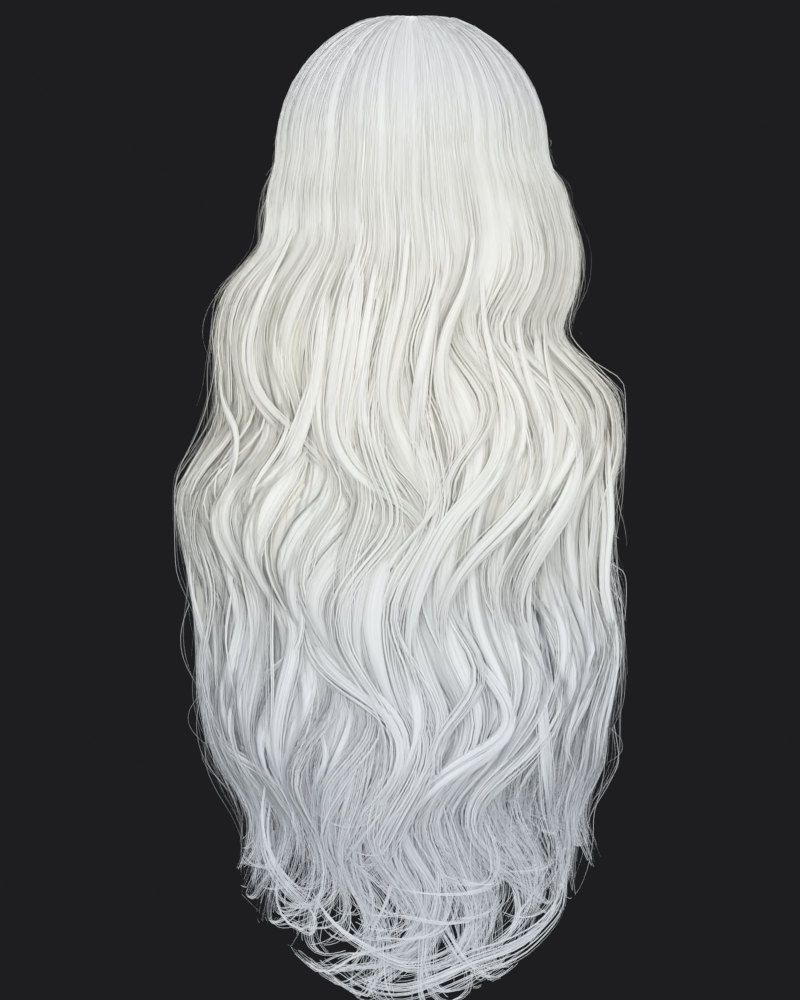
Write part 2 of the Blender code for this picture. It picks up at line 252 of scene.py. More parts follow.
def fallPoint(azimuth, fall, depth, front, phase, strength):
    turned = np.radians(azimuth)
    spread, beyond, setBack = crossSection(azimuth, fall, front)
    height = -head["crownHeight"] - fall * fallLength
    outer = np.stack([spread * np.sin(turned), setBack + beyond * np.cos(turned), height], axis=-1)
    overCap = np.hypot(
        (outerAxes[0] - innerAxes[0]) * np.sin(turned), (outerAxes[1] - innerAxes[1]) * np.cos(turned)
    )
    belowCap = ease((fall - fallHair["capEdgeFall"]) / fallHair["capEdgeFall"])
    thick = blend(overCap, sectionValue("thick", fall) * fallHair["thickness"], belowCap)
    middle = np.stack([np.zeros_like(fall), setBack, height], axis=-1)
    inward = unit(middle - outer)
    return outer + inward * (thick * depth)[..., None] + waveAt(azimuth, fall, phase, strength)


def hairPoint(azimuth, down, depth, front, phase=0.0, strength=1.0):
    # down is -1 at the parting, 0 at the head's widest level and 1 at the lowest tip
    over = domePoint(azimuth, np.clip(down + 1, 0, 1), depth)
    hanging = fallPoint(azimuth, np.clip(down, 0, None), depth, front, phase, strength)
    return np.where((down < 0)[:, None], over, hanging)


# Guides: one line down the middle of each tress, with what its strands need to know

tress = {
    "finePoints": 260,
    "domeSpacing": 0.016,
    "straightSpacing": 0.018,
    "straightTo": 0.13,
    "waveSpacing": 0.0124,
    "curlSpacing": 0.0065,
    "curlStretch": 0.06,
    "narrowest": 0.0016,
    "overlap": 1.25,
    "frontShare": 0.8,
    "room": 0.007,
    "roundUp": 0.075,
    "roundWidth": 0.115,
    "gather": 0.45,
    "gatherOver": (0.45, 0.6),
    "drift": 2.4,
    "driftOver": (0, 0.5),
    "driftRate": (0.7, 1.5),
    "driftWaves": (5, 11),
    "driftSecond": 0.6,
    "unevenDepth": 0.04,
    "riseFrom": 0.02,
    "riseOver": (0.12, 0.30),
    "ownSwing": 0.0042,
    "ownLift": 0.30,
    "ownOver": (0.08, 0.35),
    "ownShare": (0.4, 1.3),
    "ownPace": (26, 44),
    "phaseSpread": 0.09,
    "phaseOver": (0, 0.3),
    "strengthSpread": 0.22,
    "swayOver": (0.6, 0.5),
    "curlLength": (0.06, 0.15),
    "curlTurn": (0.6, 3.2),
    "sideCurl": 0.55,
    "curlLonger": 0.16,
    "besideLonger": 0.4,
    "besideOver": (16, 14),
    "curlLift": (-0.25, 0.45),
    "innerCurl": 0.6,
    "innerFrom": 0.6,
    "widthAt": (
        (-1, 2.2), (-0.3, 1.8), (0.05, 1.3), (0.2, 1.0), (0.45, 0.86), (0.7, 0.68), (0.88, 0.56), (1.0, 0.48),
    ),
    "thickAt": ((-1, 0.0009), (-0.4, 0.0013), (0.1, 0.0017), (0.35, 0.0023), (0.7, 0.0026), (1.0, 0.0022)),
}
# Depth goes from the outer face (0) to the inner face (1). Then degrees between tresses, strands for each
# degree, where they start over the cap, and how much shorter than their lock they end. The first layer lies
# on the crown and has the levels where it ends instead.
layerKeys = ("depth", "spacing", "width", "strands", "start", "ends", "loose", "outer", "body", "fine")
layers = [dict(zip(layerKeys, row)) for row in (
    (-0.03, 3.0, (1.4, 2.2), 2.8, (0.00, 0.10), (0.05, 0.40), 0.2, False, False, 0.6),
    (0.04, 8.0, (0.25, 0.6), 2.6, (0.75, 0.95), (-0.03, 0.06), 1.6, True, False, 1.0),
    (0.13, 3.8, (0.9, 1.7), 6.4, (0.60, 0.80), (-0.03, 0.06), 0.9, True, True, 1.0),
    (0.24, 4.2, (1.5, 2.1), 4.6, (0.70, 0.90), (-0.03, 0.08), 0.7, True, True, 1.0),
    (0.45, 4.6, (1.3, 1.8), 4.6, (0.75, 0.95), (-0.03, 0.12), 0.9, False, True, 1.0),
    (0.70, 5.2, (1.1, 1.6), 2.6, (0.50, 0.85), (-0.02, 0.14), 0.9, False, True, 1.0),
    (0.93, 5.2, (1.0, 1.5), 2.0, (0.60, 0.95), (-0.02, 0.14), 0.8, False, True, 1.0),
)]


def rotated(vector, axis, angle):
    return (
        vector * math.cos(angle)
        + np.cross(axis, vector) * math.sin(angle)
        + axis * np.dot(axis, vector) * (1 - math.cos(angle))
    )


def curledEnd(points, outward, sideways, curlLength, turnTo, lift):
    # the last stretch of a tress turns round on itself, sideways and a little outwards
    steps = np.diff(points, axis=0)
    toEnd = np.linalg.norm(steps, axis=1)[::-1].cumsum()[::-1]
    into = np.clip(1 - toEnd / curlLength, 0, 1)
    turn = turnTo * into**1.3
    lift = lift * into**1.2
    made = points.copy()
    for i in range(int(np.argmax(into > 0)), len(steps)):
        step = rotated(steps[i], outward[i], turn[i])
        made[i + 1] = made[i] + rotated(step, sideways[i], lift[i])
    return made


def lockOf(panel, azimuth):
    first, last, locks = panel[1], panel[2], len(panel[3])
    return min(max(int((azimuth - first) / (last - first) * locks), 0), locks - 1)


def makeGuide(random, panel, azimuth, halfDegrees, depth, start, tip, loose, curled):
    name, first, last, tips, sways = panel
    front = atFront(panel)
    curlLength = random.uniform(*tress["curlLength"])
    turnTo = random.uniform(*tress["curlTurn"])
    turnTo = turnTo * (1.0 if abs(azimuth) < head["crownAngle"] else tress["sideCurl"])
    if curled:
        # what the curl takes up is added to the length
        beside = grown(abs(azimuth), tress["besideOver"])
        longer = tress["curlLonger"] * blend(1.0, tress["besideLonger"], beside)
        tip = tip + longer * curlLength * turnTo / fallLength
    down = np.linspace(start - 1, tip, tress["finePoints"])
    fall = np.clip(down, 0, None)
    lock = lockOf(panel, azimuth)
    lockMiddle = first + (lock + 0.5) * (last - first) / len(tips)
    rate = random.uniform(*tress["driftRate"], 2)
    start1, start2 = random.uniform(0, 2 * math.pi, 2)
    slow, fast = tress["driftWaves"]
    wander = np.sin(rate[0] * slow * fall + start1) + tress["driftSecond"] * np.sin(rate[1] * fast * fall + start2)
    wander = wander - (math.sin(start1) + tress["driftSecond"] * math.sin(start2))
    drift = tress["drift"] * loose * grown(fall, tress["driftOver"]) * wander
    gather = tress["gather"] * grown(fall, tress["gatherOver"])
    along = azimuth + (lockMiddle - azimuth) * gather + drift
    # it stays on its own side of the gaps between front, side and back
    margin = head["edgeMargin"]
    if front:
        along = np.clip(np.abs(along), head["earAngle"] + margin, head["faceAngle"] - margin) * np.sign(azimuth)
    elif abs(azimuth) > head["crownAngle"]:
        along = np.clip(along, margin - head["earAngle"], head["earAngle"] - margin)
    phase = random.normal(0, tress["phaseSpread"]) * loose * grown(fall, tress["phaseOver"])
    strength = 1 + random.uniform(-0.8, 1.0) * tress["strengthSpread"]
    skin = tableAt(sheetLook["depth"], down)
    if depth < 0:
        # it lies on the smooth hair of the crown and stays outside where that hair goes under
        depthHere = np.minimum(skin + depth, -depth)
    else:
        # it rises out of the smooth hair of the crown
        uneven = random.normal(0, tress["unevenDepth"]) + tress["unevenDepth"] * np.sin(9 * fall + start2)
        depthHere = np.clip(depth + uneven, 0.0, 0.98)
        under = np.maximum(depthHere, skin + sheetLook["cover"])
        risen = grown(down, (tress["riseFrom"], random.uniform(*tress["riseOver"])))
        depthHere = blend(under, depthHere, risen)
    points = hairPoint(along, down, depthHere, front, phase, strength)
    left = hairPoint(along + 0.5, down, depthHere, front, phase, strength)
    right = hairPoint(along - 0.5, down, depthHere, front, phase, strength)
    deeper = hairPoint(along, down, np.minimum(depthHere + 0.05, 1.03), front, phase, strength)
    perDegree = left - right
    outward = unit(points - deeper)
    # each tress has a small wave of its own, round its neighbours
    own = tress["ownSwing"] * loose * grown(fall, tress["ownOver"]) * random.uniform(*tress["ownShare"])
    pace = random.uniform(*tress["ownPace"])
    points = points + unit(perDegree) * (own * np.sin(pace * fall + start1))[:, None]
    points = points + outward * (tress["ownLift"] * own * np.sin(0.8 * pace * fall + start2))[:, None]
    points[:, 0] += sways[lock] * fallHair["tipSway"] * grown(fall, tress["swayOver"])
    points = smoothRows(points, 5)
    # even steps before the end is curled
    length = lengthAlong(points)
    even = np.linspace(0, length[-1], tress["finePoints"])
    points, outward, perDegree, down = (
        resampled(values, even, length) for values in (points, outward, perDegree, down)
    )
    outward = unit(outward)
    if curled:
        turnTo = turnTo * random.choice([-1, 1]) * (tress["innerCurl"] if depth > tress["innerFrom"] else 1.0)
        lift = random.uniform(*tress["curlLift"])
        points = curledEnd(points, outward, unit(perDegree), curlLength, turnTo, lift)
    return thinned(keptIn(points), outward, perDegree, down, halfDegrees)


def thinned(points, outward, perDegree, down, halfDegrees):
    # fewer points where the hair is straight, more where it curls
    steps = np.linalg.norm(np.diff(points, axis=0), axis=1)
    middle = (down[1:] + down[:-1]) / 2
    toEnd = steps[::-1].cumsum()[::-1]
    spacing = np.where(middle < 0, tress["domeSpacing"], tress["waveSpacing"])
    spacing = np.where((middle >= 0) & (middle < tress["straightTo"]), tress["straightSpacing"], spacing)
    spacing = np.where(toEnd < tress["curlStretch"], tress["curlSpacing"], spacing)
    weight = np.concatenate([[0], (steps / spacing).cumsum()])
    picks = np.linspace(0, weight[-1], max(6, int(round(weight[-1])) + 1))
    points, outward, perDegree, down = (
        resampled(values, picks, weight) for values in (points, outward, perDegree, down)
    )
    across = perDegree * (halfDegrees * tableAt(tress["widthAt"], down))[:, None]
    size = np.linalg.norm(across, axis=1, keepdims=True)
    return {
        "points": points,
        "outward": unit(outward),
        "across": across * np.maximum(size, tress["narrowest"]) / np.maximum(size, 1e-9),
        "thick": tableAt(tress["thickAt"], down),
        "down": down,
    }


def panelGuides(panel, seed):
    name, first, last, tips, sways = panel
    random = np.random.RandomState(seed)
    degrees = last - first
    guides = []
    for layer in layers:
        count = max(2, round(degrees / layer["spacing"]))
        step = degrees / count
        strands = layer["strands"] * degrees / count * (tress["frontShare"] if atFront(panel) else 1)
        curled = layer["depth"] > 0
        for i in range(count):
            azimuth = first + (i + 0.5) * step + random.uniform(-0.3, 0.3) * step
            tip = random.uniform(*layer["ends"])
            if curled:
                tip = tips[lockOf(panel, azimuth)] - tip
            start = random.uniform(*layer["start"])
            width = random.uniform(*layer["width"])
            half = step / 2 * tress["overlap"] * width
            guide = makeGuide(random, panel, azimuth, half, layer["depth"], start, tip, layer["loose"], curled)
            if not curled:
                guide["thick"] = guide["thick"] * sheetLook["strandLift"]
            middle = sum(layer["width"]) / 2
            guide["strands"] = max(3, int(round(strands * (0.4 + 0.6 * width / middle))))
            guide["tone"] = random.uniform(0, 1)
            guide.update((key, layer[key]) for key in ("outer", "body", "fine"))
            guides.append(guide)
    return guides


def keptIn(points):
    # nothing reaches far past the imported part: what would is drawn back softly
    low, high = (np.array(corner) for corner in cadBox)
    room = tress["room"]
    over = np.maximum(points - high, 0)
    under = np.maximum(low - points, 0)
    points = np.clip(points, low, high) + over / (1 + over / room) - under / (1 + under / room)
    # the lowest ends gather along a round outline
    lowest = low[2] - room + tress["roundUp"] * (np.abs(points[:, 0]) / tress["roundWidth"]) ** 1.6
    under = np.maximum(lowest - points[:, 2], 0)
    points[:, 2] = np.maximum(points[:, 2], lowest) - under / (1 + under / room)
    return points


# Stray strands, which leave the outline and come back to it or end in the air

flyaway = {
    "perDegree": 0.9,
    "moreAtSides": 7.0,
    "aboveShare": 0.35,
    "above": (-0.75, 0.6),
    "aboveTips": 0.12,
    "length": (0.06, 0.20),
    "straighter": (0.4, 1.0),
    "reach": (0.002, 0.011),
    "crownReach": 0.3,
    "crownOver": (-0.1, 0.35),
    "sideReach": 2.2,
    "sideTo": 0.55,
    "sideShare": 0.3,
    "lowReach": 0.018,
    "lowOver": (0.5, 0.4),
    "wander": 0.007,
    "bends": (1.5, 4.5),
    "bendOver": (-0.1, 0.8),
    "depth": (0.02, 0.10),
    "halfWidth": 0.0003,
    "points": 17,
    "fine": (0.22, 0.42),
}


def flyaways(panel, random):
    name, first, last, tips, sways = panel
    front = atFront(panel)
    guides = []
    atSide = head["crownAngle"] <= abs(first + last) / 2 <= head["earAngle"]
    count = round((last - first) * flyaway["perDegree"] * (flyaway["moreAtSides"] if atSide else 1))
    for i in range(count):
        azimuth = random.uniform(first + 1, last - 1)
        if random.uniform(0, 1) < flyaway["aboveShare"]:
            start = random.uniform(*flyaway["above"]) ** 3
        else:
            start = random.uniform(0, min(tips) - flyaway["aboveTips"])
        length = random.uniform(*flyaway["length"])
        share = np.linspace(0, 1, flyaway["points"])
        down = start + share * length / fallLength * random.uniform(*flyaway["straighter"])
        turns = random.uniform(0, 2 * math.pi)
        bent = flyaway["wander"] * (np.sin(random.uniform(*flyaway["bends"]) * share + turns) - math.sin(turns))
        bent = bent * blend(0.2, 1.3, grown(start, flyaway["bendOver"]))
        shallow, deep = (np.full_like(down, depth) for depth in flyaway["depth"])
        surface = hairPoint(azimuth, down, shallow, front)
        outward = unit(surface - hairPoint(azimuth, down, deep, front))
        sideways = unit(hairPoint(azimuth + 1, down, shallow, front) - surface)
        low = grown(start, flyaway["lowOver"])
        reach = random.uniform(*flyaway["reach"]) + flyaway["lowReach"] * random.uniform(0, 1) * low
        reach = reach * blend(flyaway["crownReach"], 1.0, grown(start, flyaway["crownOver"]))
        if atSide and start < flyaway["sideTo"] and random.uniform(0, 1) < flyaway["sideShare"]:
            reach, bent = reach * flyaway["sideReach"], bent * flyaway["sideReach"]
        free = random.uniform(0, 1) < 0.5
        away = share**1.6 if free else np.sin(math.pi * share)
        points = surface + outward * (reach * away)[:, None] + sideways * bent[:, None]
        guides.append({
            "points": keptIn(points),
            "outward": outward,
            "across": sideways * flyaway["halfWidth"],
            "thick": np.full(len(points), flyaway["halfWidth"]),
            "down": down,
            "strands": 1,
            "tone": random.uniform(0, 1),
            "outer": True,
            "body": False,
            "fine": random.uniform(*flyaway["fine"]),
        })
    return guides


# The smooth hair of the crown, which runs on under the tresses and closes the hair behind them

sheetLook = {
    "columnDegrees": 0.75,
    "domeRows": 24,
    "fallRows": 40,
    "depth": (
        (-1, 0.12), (-0.992, 0.05), (-0.975, 0.0), (-0.94, -0.18), (-0.5, -0.12), (0.0, 0.02), (0.10, 0.06),
        (0.28, 0.165), (0.55, 0.20), (0.8, 0.42),
    ),
    "ridge": ((-1, 0.0), (-0.8, 0.00015), (-0.3, 0.0004), (0.0, 0.0007), (0.15, 0.0012), (1.0, 0.0016)),
    "edgeDegrees": 3.0,
    "shownTo": 0.2,
    "cover": 0.12,
    "strandLift": 0.25,
    "start": -0.90,
    "rootRows": (-1.0, -0.996, -0.99, -0.982, -0.972, -0.955, -0.93),
    "end": 0.70,
    "unevenEnd": 0.05,
    "wallColumns": 9,
    "wallDepth": 1.06,
    "wallShallow": 0.15,
    "wallOver": (0.03, 0.14),
    "wallRound": 1.4,
    "wallUneven": 0.3,
    "joinAt": 0.03,
    "joinReach": 0.13,
}


def evenNoise(random, rows, columns, rowReach, columnReach):
    made = random.normal(0, 1, (rows, columns))
    made = smoothRows(made, rowReach)
    made = smoothRows(made.T, columnReach).T
    return made / made.std()


def frontEdge(azimuth, down, random):
    # the front edge of the hair, which turns in to the cap and closes the crown under the parting
    depth = tableAt(sheetLook["depth"], down)
    deepest = blend(sheetLook["wallDepth"], depth + sheetLook["wallShallow"], grown(down, sheetLook["wallOver"]))
    made = []
    for i in range(sheetLook["wallColumns"]):
        share = (i + 1) / sheetLook["wallColumns"]
        beyond = sheetLook["wallRound"] * math.sin(math.pi * share)
        beyond = beyond + random.uniform(-1, 1) * sheetLook["wallUneven"]
        made.append(hairPoint(azimuth + math.copysign(beyond, azimuth), down, blend(depth, deepest, share), True))
    return made


def sheetGrid(panel, random):
    name, first, last, tips, sways = panel
    front = atFront(panel)
    columns = int((last - first) / sheetLook["columnDegrees"]) + 1
    rows = len(sheetLook["rootRows"]) + sheetLook["domeRows"] + sheetLook["fallRows"]
    ridges = evenNoise(random, rows, columns, 12, 3) + 0.6 * evenNoise(random, rows, columns, 14, 1)
    # the ridges die out at the panel's edges, where the next panel's hair takes over
    fromEdge = np.minimum(np.arange(columns), np.arange(columns)[::-1]) * sheetLook["columnDegrees"]
    ridges = ridges * ease(fromEdge / sheetLook["edgeDegrees"])
    ends = sheetLook["unevenEnd"] * evenNoise(random, 1, columns, 0, 2)[0]
    lowest = sheetLook["end"] * (sum(tips) / len(tips)) - np.clip(ends, -0.1, 0.1)
    made = []
    for i in range(columns):
        azimuth = first + (last - first) * i / (columns - 1)
        down = np.concatenate([
            sheetLook["rootRows"],
            np.linspace(sheetLook["start"], -0.02, sheetLook["domeRows"]),
            np.linspace(0.0, lowest[i], sheetLook["fallRows"]),
        ])
        depth = tableAt(sheetLook["depth"], down)
        points = hairPoint(azimuth, down, depth, front)
        # the bend where the hair leaves the head is eased
        near = 1 - ease(np.abs(down - sheetLook["joinAt"]) / sheetLook["joinReach"])
        points = blend(points, smoothRows(points, 4), near[:, None])
        outward = unit(points - hairPoint(azimuth, down, depth + 0.05, front))
        made.append(points + outward * (ridges[:, i] * tableAt(sheetLook["ridge"], down))[:, None])
    if front and first > 0:
        made = made + frontEdge(last, down, random)
    elif front:
        made = frontEdge(first, down, random)[::-1] + made
    return np.stack(made), down


# Locks that lie on top and show one by one: the width of each, then its places as millimetres across from the
# middle of the back, positive on the wearer's left, and millimetres below the origin
surfaceLocks = (
    (16, ((68, 78), (85, 138), (98, 179), (114, 213), (123, 247), (121, 277), (106, 300), (86, 319),
         (71, 338), (51, 355), (33, 373))),
    (14, ((58, 101), (65, 176), (68, 228), (71, 262), (79, 292), (87, 317), (100, 340), (118, 358),
         (131, 373), (134, 391))),
    (19, ((45, 78), (47, 153), (45, 199), (50, 244), (56, 281), (59, 310), (51, 334), (32, 354), (9,
         368), (-6, 382), (-13, 402), (-9, 432))),
    (14, ((20, 86), (21, 169), (27, 214), (35, 251), (39, 289), (38, 313), (27, 335), (11, 355),
         (-1, 373), (-9, 394))),
    (12, ((7, 86), (8, 169), (12, 214), (21, 251), (25, 285), (21, 313), (9, 338), (-4, 356), (-12, 373))),
    (11, ((-21, 78), (-22, 161), (-18, 206), (-12, 244), (-6, 274), (-3, 311), (-6, 341), (-12, 368))),
    (14, ((-43, 86), (-49, 161), (-42, 202), (-25, 236), (-19, 263), (-24, 293), (-34, 315), (-34,
         338), (-24, 356), (-14, 373), (-6, 398))),
    (17, ((-60, 101), (-55, 183), (-54, 236), (-63, 274), (-70, 304), (-66, 334), (-49, 358), (-30,
         375), (-15, 402), (-1, 435), (6, 469), (0, 501), (-16, 523), (-21, 552), (-9, 578))),
    (14, ((-81, 115), (-81, 198), (-80, 243), (-89, 281), (-101, 310), (-102, 335), (-90, 360),
         (-70, 383), (-45, 405), (-25, 433), (-19, 462), (-30, 493), (-43, 518), (-43, 548))),
    (16, ((-102, 152), (-106, 213), (-100, 251), (-106, 285), (-121, 312), (-126, 341), (-115, 368),
         (-96, 394), (-80, 421), (-75, 447), (-86, 477), (-102, 504))),
    (12, ((-112, 235), (-129, 264), (-145, 284), (-151, 311), (-147, 345), (-148, 379), (-143, 417),
         (-145, 444), (-153, 467), (-153, 498), (-146, 528), (-143, 551), (-145, 568), (-137, 581),
         (-121, 593), (-114, 610))),
    (17, ((30, 375), (42, 402), (65, 423), (79, 442), (81, 466), (71, 486), (51, 502), (28, 517),
         (11, 535), (7, 556), (15, 578), (33, 597), (51, 618), (61, 640))),
    (16, ((15, 390), (21, 424), (27, 454), (24, 484), (8, 508), (-10, 531), (-13, 553), (-4, 576),
         (11, 601), (23, 627), (42, 647), (66, 658), (80, 663))),
    (12, ((123, 375), (111, 400), (91, 424), (82, 448), (85, 471), (97, 488), (114, 500), (131, 510))),
    (14, ((-70, 390), (-49, 424), (-39, 454), (-46, 481), (-66, 506), (-77, 526), (-69, 545), (-43,
         560), (-18, 578), (6, 604), (18, 627))),
    (14, ((-109, 409), (-101, 432), (-112, 459), (-121, 481), (-113, 508), (-102, 532), (-87, 554),
         (-63, 575), (-46, 592), (-44, 612), (-57, 630), (-80, 643), (-98, 657), (-96, 677))),
    (11, ((153, 410), (145, 440), (137, 470), (143, 501), (151, 528), (140, 553), (117, 564), (97,
         581), (88, 609), (85, 639), (94, 661))),
    (9, ((85, 477), (83, 507), (71, 531), (61, 554), (70, 576), (80, 595), (82, 617))),
    (11, ((68, 491), (53, 514), (38, 541), (39, 566), (53, 590), (67, 619), (73, 640), (62, 653))),
    (16, ((114, 546), (114, 576), (114, 606), (109, 636), (98, 655), (85, 666), (71, 677))),
    (17, ((-116, 610), (-125, 638), (-119, 669), (-100, 690), (-72, 703), (-43, 710), (-21, 721),
         (6, 732), (32, 729), (51, 718), (57, 701))),
    (7, ((109, 642), (108, 665), (95, 684), (80, 693), (74, 683), (80, 669))),
    (16, ((80, 660), (68, 677), (51, 691), (30, 704), (6, 716), (-21, 711), (-42, 699))),
    (16, ((-6, 623), (-25, 641), (-42, 663), (-46, 687), (-36, 707), (-16, 721))),
    (12, ((-13, 582), (-10, 612), (-18, 642), (-15, 672), (-1, 698), (17, 713))),
    (14, ((13, 635), (18, 665), (30, 687), (35, 706))),
    (12, ((-66, 639), (-81, 658), (-80, 681), (-63, 697), (-42, 707))),
    (9, ((159, 341), (171, 364), (173, 395), (166, 429), (159, 460), (153, 486), (150, 517))),
    (9, ((134, 212), (145, 235), (148, 265), (142, 292), (131, 311), (134, 337), (147, 364), (158, 395))),
    (11, ((-89, 409), (-96, 440), (-109, 462), (-106, 489), (-96, 515), (-99, 545), (-102, 576),
         (-106, 606), (-112, 629))),
    (9, ((-135, 410), (-127, 440), (-135, 470), (-132, 501), (-121, 531), (-115, 553), (-126, 573))),
)
surfaceLook = {
    "finePoints": 200,
    "stepLength": 0.0085,
    "partWidth": 4.6,
    "partOverlap": 1.5,
    "partVaries": (0.75, 1.2),
    "partSpread": 0.8,
    "unevenPlace": 0.12,
    "topPlace": 0.4,
    "thickness": 0.0030,
    "proud": 0.0024,
    "unevenRise": (-0.0006, 0.0008),
    "onTop": 0.0012,
    "wander": 0.22,
    "wanderPace": (14, 26),
    "unevenStarts": 0.10,
    "unevenEnds": 0.022,
    "gatherLength": 0.10,
    "gatherSize": 0.55,
    "flareLength": 0.08,
    "flareSize": 1.35,
    "sinkLength": 0.20,
    "sinkShare": 0.4,
    "sinkDepth": 0.012,
    "endSink": 0.5,
    "openLength": 0.16,
    "openWidth": 0.25,
    "openThickness": 0.15,
    "thinLength": 0.06,
    "thinSize": 0.55,
    "flatLength": 0.07,
    "flatSize": 0.5,
    "domeLength": 0.19,
    "strandsPerMetre": 2200,
    "bodiesTo": 0.84,
    "lowFine": 0.8,
    "bodyReach": (0.70, 0.92),
}


def skinPoint(x, z):
    # the hair's outer face at this place of the back, and the way it faces
    fall = (-z - head["crownHeight"]) / fallLength
    down = np.clip(fall, 0, None)
    spread, beyond, setBack = crossSection(x, down, False)
    height = np.where(fall > 0, 0.0, (z + head["crownHeight"]) / outerAxes[2])
    ratio = np.clip(x / spread, -0.985, 0.985)
    y = setBack + beyond * np.sqrt(np.maximum(1 - ratio**2 - height**2, 0.01))
    azimuth = np.degrees(np.arcsin(ratio))
    y = y + waveAt(azimuth, down, 0.0, 1.0)[:, 1]
    facing = np.stack([ratio / spread, (y - setBack) / beyond**2, height / outerAxes[2]], axis=-1)
    return np.stack([x, y, z], axis=-1), unit(facing), fall, azimuth


def lockGuides(random, width, places):
    # each lock is a few thin tresses side by side, which end unevenly
    fine = surfaceLook["finePoints"]
    path = np.array(places, float) / 1000 * (1, -1)
    length = lengthAlong(path)
    whole = length[-1]
    path = smoothRows(resampled(path, np.linspace(0, whole, fine), length), 12)
    points, outward, fall, azimuth = skinPoint(path[:, 0], path[:, 1])
    across = unit(np.cross(unit(np.gradient(points, axis=0)), outward))
    parts = max(2, round(width / surfaceLook["partWidth"]))
    halfLock = width / 2000
    guides = []
    for part in range(parts + 1):
        # the last one lies on top of the others
        topPlace, uneven = surfaceLook["topPlace"], surfaceLook["unevenPlace"]
        place = (part + 0.5) / parts * 2 - 1 if part < parts else random.uniform(-topPlace, topPlace)
        place = place * surfaceLook["partSpread"] + random.uniform(-uneven, uneven)
        first = random.uniform(0, surfaceLook["unevenStarts"]) / whole
        last = min(1 - random.uniform(-0.3, 1.0) * surfaceLook["unevenEnds"] / whole, 1.0)
        count = max(8, int((last - first) * whole / surfaceLook["stepLength"]))
        picks = np.linspace(first, last, count) * (fine - 1)
        middle, face, side, falls = (
            resampled(values, picks, range(fine)) for values in (points, outward, across, fall)
        )
        face = unit(face)
        fromStart = np.linspace(first, last, count) * whole
        fromEnd = whole * last - fromStart
        fromStart = fromStart - fromStart[0]
        pace = random.uniform(*surfaceLook["wanderPace"])
        wander = surfaceLook["wander"] * np.sin(pace * fromStart + random.uniform(0, 6.3))
        spread = blend(surfaceLook["gatherSize"], 1.0, ease(fromStart / surfaceLook["gatherLength"]))
        spread = spread * blend(surfaceLook["flareSize"], 1.0, ease(fromEnd / surfaceLook["flareLength"]))
        aside = (place + wander) * spread * halfLock
        # both ends go down into the hair, the start the deeper
        sinkLength = min(surfaceLook["sinkLength"], surfaceLook["sinkShare"] * whole)
        sink = (1 - ease(fromStart / sinkLength)) + surfaceLook["endSink"] * (1 - ease(fromEnd / sinkLength))
        rise = surfaceLook["proud"] * math.cos(place) + random.uniform(*surfaceLook["unevenRise"])
        rise = rise + surfaceLook["onTop"] * (part == parts)
        made = middle + side * aside[:, None] + face * (rise - sink * surfaceLook["sinkDepth"])[:, None]
        made = keptIn(smoothRows(made, 1))
        opened = ease(fromStart / surfaceLook["openLength"])
        half = halfLock / parts * surfaceLook["partOverlap"] * random.uniform(*surfaceLook["partVaries"])
        half = half * blend(surfaceLook["openWidth"], 1.0, opened)
        half = half * blend(surfaceLook["thinSize"], 1.0, ease(fromEnd / surfaceLook["thinLength"]))
        flat = blend(surfaceLook["flatSize"], 1.0, ease(fromEnd / surfaceLook["flatLength"]))
        flat = flat * blend(surfaceLook["openThickness"], 1.0, opened)
        body = falls[-1] < surfaceLook["bodiesTo"]
        guides.append({
            "points": made,
            "outward": face,
            "across": side * half[:, None],
            "thick": surfaceLook["thickness"] / 2 * flat,
            "down": np.where(falls > 0, falls, np.clip(falls * fallLength / surfaceLook["domeLength"], -1, 0)),
            "strands": max(3, int(surfaceLook["strandsPerMetre"] * width / 1000 / (parts + 1))),
            "tone": random.uniform(0, 1),
            "outer": True,
            "body": body,
            "fine": 1.0 if body else surfaceLook["lowFine"],
            "azimuth": float(azimuth.mean()),
            "reach": random.uniform(*surfaceLook["bodyReach"]),
        })
    return guides


# The body of each tress: a flat closed rope, which the strands lie on

tressBody = {
    "sides": 10,
    "innerSides": 6,
    "reach": (0.78, 0.92),
    "endTaper": 0.26,
    "tipSize": 0.06,
    "rootTaper": 0.05,
    "rootSize": 0.3,
    "flutes": ((3, 0.05), (5, 0.035)),
    "size": 0.92,
    "variants": 8,
}
# every map runs up the middle with the way down the hair, and across in columns
mapUp = {"middle": 0.49, "perDown": 0.47}


def upAt(down):
    return mapUp["middle"] + mapUp["perDown"] * down


def bodyRings(guide, sides, random):
    # a ring of points round each place of the guide, as far down as the body goes
    along = lengthAlong(guide["points"])
    reach = guide.get("reach") or random.uniform(*tressBody["reach"])
    rows = int(np.searchsorted(along / along[-1], reach))
    points, outward, across = (guide[key][:rows] for key in ("points", "outward", "across"))
    share = along[:rows] / along[rows - 1]
    taper = blend(tressBody["tipSize"], 1.0, ease((1 - share) / tressBody["endTaper"]))
    taper = taper * blend(tressBody["rootSize"], 1.0, ease(share / tressBody["rootTaper"]))
    theta = np.linspace(0, 2 * math.pi, sides, endpoint=False)
    scale = np.ones((rows, sides))
    for count, depth in tressBody["flutes"]:
        turn = random.uniform(0, 2 * math.pi) + random.uniform(-2, 2) * share
        scale += depth * np.sin(count * theta[None, :] + turn[:, None])
    scale = scale * (taper * tressBody["size"])[:, None]
    rings = (
        points[:, None, :]
        + across[:, None, :] * (np.cos(theta)[None, :] * scale)[..., None]
        + (outward * guide["thick"][:rows, None])[:, None, :] * (np.sin(theta)[None, :] * scale)[..., None]
    )
    poles = np.stack([blend(points[0], points[1], -0.15), blend(points[-1], points[-2], -0.3)])
    return rings, poles


